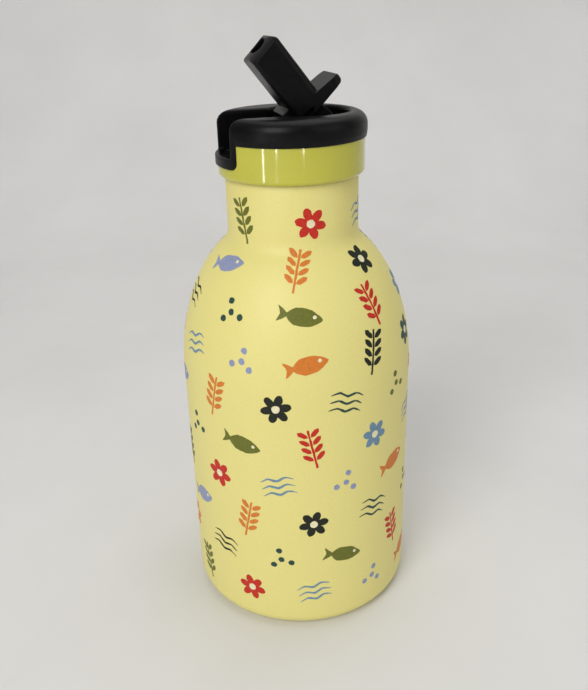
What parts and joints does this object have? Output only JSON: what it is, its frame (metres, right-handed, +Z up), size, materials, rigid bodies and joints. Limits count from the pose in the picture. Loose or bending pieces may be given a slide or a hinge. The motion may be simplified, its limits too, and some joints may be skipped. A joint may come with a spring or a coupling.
{
  "type": "kids water bottle",
  "caption": "Small steel kids' water bottle with a screw lid, a flip-up drinking spout in a slotted cap, and an inner straw.",
  "frame": {"origin": "centre of the base, on the surface it stands on", "axes": "+Z up along the bottle's axis; the lid's slot and the folded spout's tip face -X; the hinge line is parallel to Y"},
  "size_m": [0.066, 0.066, 0.1615],
  "materials": {
    "body_paint": "matte powder coat",
    "bare_steel": "brushed",
    "black_plastic": "satin",
    "collar_plastic": "gloss",
    "clear_silicone": "soft",
    "dark_silicone": "soft",
    "straw_plastic": "satin"
  },
  "bodies": {
    "bottle": {"bottle_body": "body_paint", "bottle_base": "bare_steel", "neck_thread_ring": "bare_steel"},
    "gasket": {"lid_gasket": "clear_silicone"},
    "lid": {"lid_plug": "black_plastic", "lid_collar": "collar_plastic", "lid_top": "black_plastic", "spout_seat": "dark_silicone", "vent_valve": "clear_silicone", "straw_sleeve": "clear_silicone", "straw": "straw_plastic"},
    "spout": {"spout": "black_plastic"}
  },
  "joints": [
    {"name": "lid_rise", "type": "slide", "parent": "bottle", "child": "gasket", "axis": [0, 0, 1], "range_m": [0, 0.008]},
    {"name": "lid_turn", "type": "hinge", "parent": "gasket", "child": "lid", "pos_m": [0, 0, 0.13], "axis": [0, 0, 1], "range_deg": [0, 720]},
    {"name": "spout_flip", "type": "hinge", "parent": "lid", "child": "spout", "pos_m": [0.0032, 0, 0.1375], "axis": [0, 1, 0], "range_deg": [-60, 25]}
  ],
  "couplings": [
    {"joint": "lid_rise", "follows": "lid_turn", "m_per_rad": 0.00063662}
  ]
}
